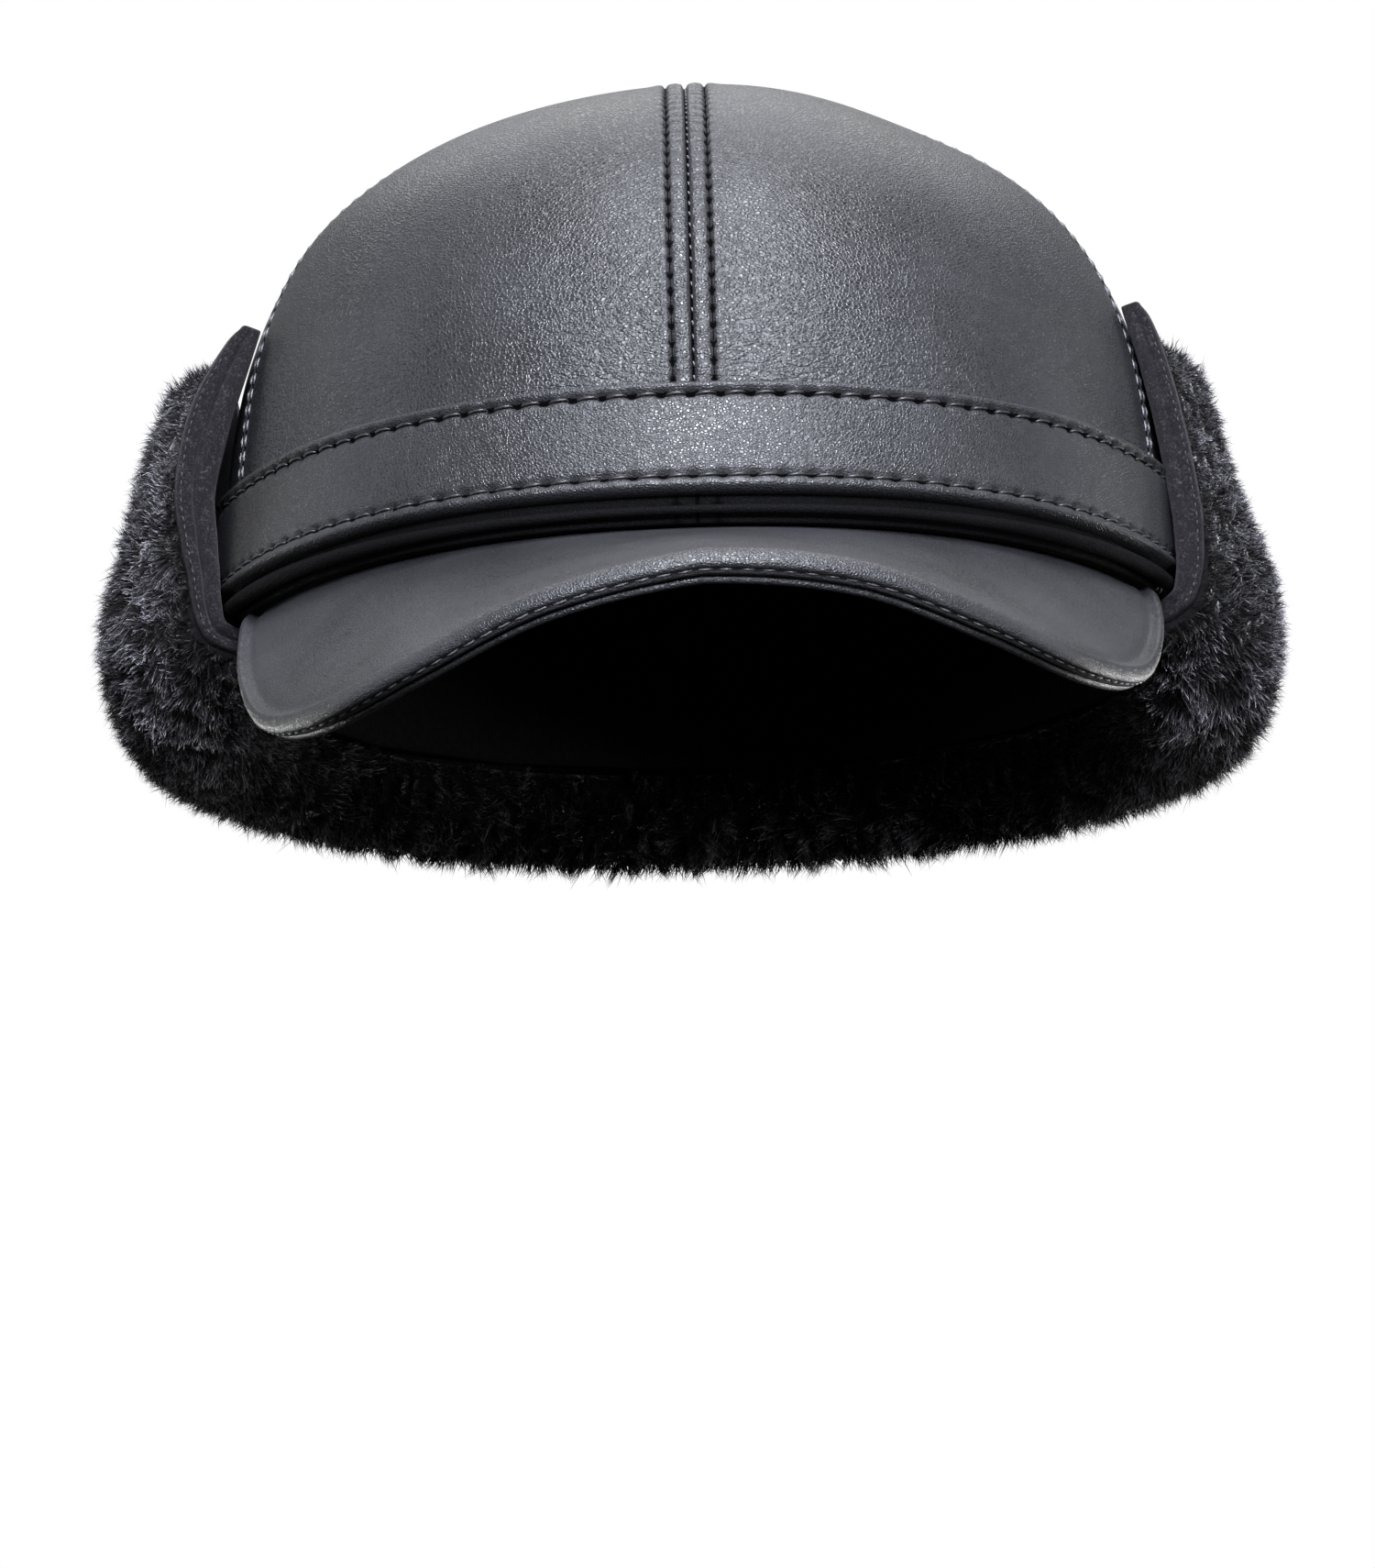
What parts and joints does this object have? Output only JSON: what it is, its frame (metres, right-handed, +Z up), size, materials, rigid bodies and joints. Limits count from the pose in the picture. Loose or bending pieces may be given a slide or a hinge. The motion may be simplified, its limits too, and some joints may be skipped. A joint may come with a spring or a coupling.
{
  "type": "leather peaked winter cap",
  "caption": "Black leather peaked cap with a padded front band and a fur faced ear and neck flap turned up round its sides and back.",
  "frame": {"origin": "centre of the head opening, in the plane of the crown's rim, where the cap sits on a head", "axes": "+Z up through the crown's top, -Y forward over the peak, +X to the wearer's left"},
  "size_m": [0.2223, 0.2947, 0.1359],
  "materials": {
    "crown_leather": "fine grained black leather with a soft sheen",
    "trim_leather": "fine grained black leather, rolled edges, black stitches",
    "visor_leather": "smoother black leather stretched over a stiff board",
    "flap_cloth": "matt charcoal woollen cloth",
    "flap_fur": "short black fur with grey tips"
  },
  "bodies": {
    "root": {"crown_front_left": "crown_leather", "crown_front_right": "crown_leather", "crown_rear_left": "crown_leather", "crown_rear_right": "crown_leather", "front_band": "trim_leather", "visor_seam_roll": "trim_leather", "visor_top": "visor_leather", "visor_under": "visor_leather", "ear_flap_cloth": "flap_cloth", "flap_binding_left": "flap_cloth", "flap_binding_right": "flap_cloth", "ear_flap_fur": "flap_fur"}
  },
  "joints": []
}
